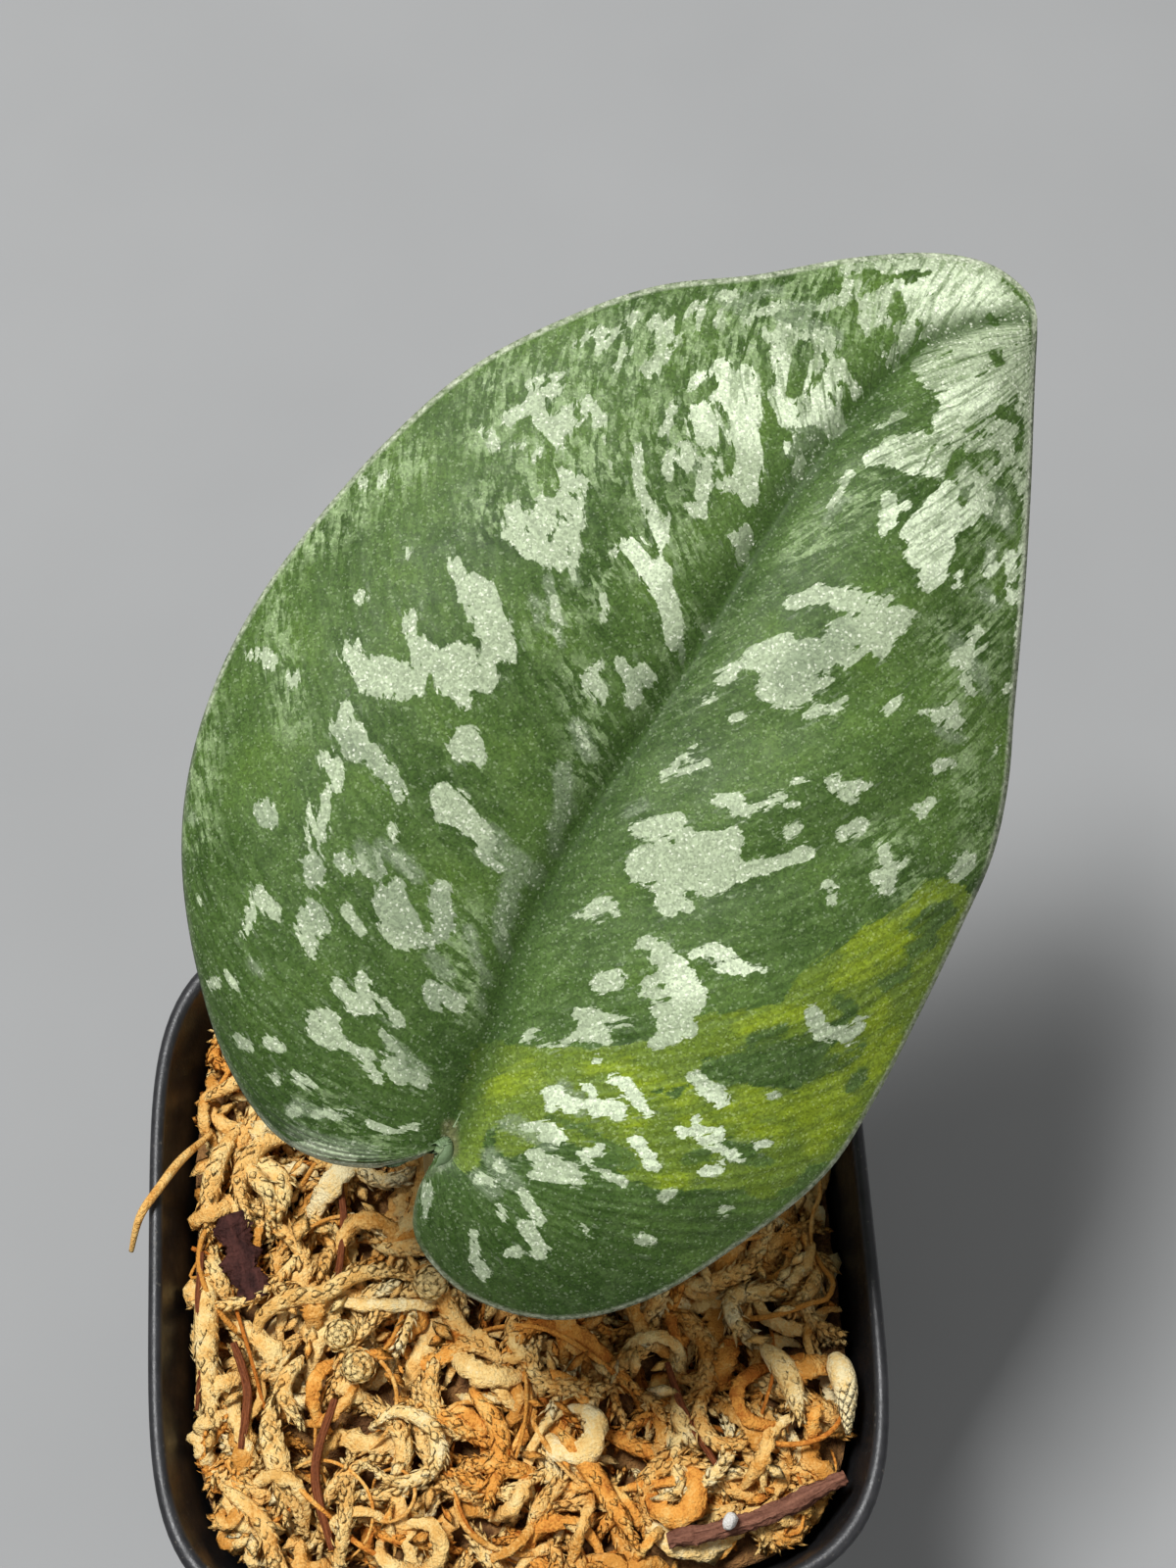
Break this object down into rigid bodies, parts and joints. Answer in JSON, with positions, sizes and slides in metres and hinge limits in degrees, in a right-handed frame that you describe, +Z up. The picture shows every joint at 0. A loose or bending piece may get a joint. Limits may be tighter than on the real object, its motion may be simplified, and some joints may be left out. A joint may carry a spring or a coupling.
{
  "type": "potted satin pothos",
  "caption": "Young satin pothos with one silver-splashed heart-shaped leaf on its stalk, planted in sphagnum moss in a small square plastic nursery pot.",
  "frame": {"origin": "centre of the pot's underside, on the surface that the pot stands on", "axes": "+Z up; the pot's walls face along X and Y; the leaf reaches out over the back wall, towards +Y and +X"},
  "size_m": [0.0889, 0.1052, 0.1252],
  "materials": {
    "black_plastic": "satin moulded plastic",
    "tan_moss": "dry fibrous moss",
    "leaf": "satin leaf with silver splashes",
    "petiole": "smooth green stalk",
    "stem_bark": "dry stem skin",
    "root_skin": "matt root skin",
    "rust_moss": "dry orange moss",
    "cream_moss": "dry pale moss",
    "perlite": "matt white grain",
    "twig_bark": "dry red-brown stem"
  },
  "bodies": {
    "root": {"pot": "black_plastic", "moss_plug": "tan_moss", "leaf_blade": "leaf", "petiole": "petiole", "stem_cutting": "stem_bark", "root_left": "root_skin", "root_right": "root_skin", "root_back": "root_skin", "moss_strand_over_rim": "tan_moss", "moss_strand_left": "tan_moss", "moss_strand_back": "tan_moss", "moss_strand_far": "tan_moss", "moss_curl": "tan_moss", "moss_bud_back": "tan_moss", "moss_bud_front": "tan_moss", "orange_frond_left": "rust_moss", "orange_frond_right": "rust_moss", "pale_moss_knob": "cream_moss", "pale_tuft": "cream_moss", "cream_stalk": "cream_moss", "perlite_grain": "perlite", "bark_sliver": "twig_bark", "red_stem_back": "twig_bark", "red_stem_side": "twig_bark", "red_stem_front": "twig_bark", "dark_twig": "twig_bark", "thin_twig": "twig_bark"}
  },
  "joints": []
}
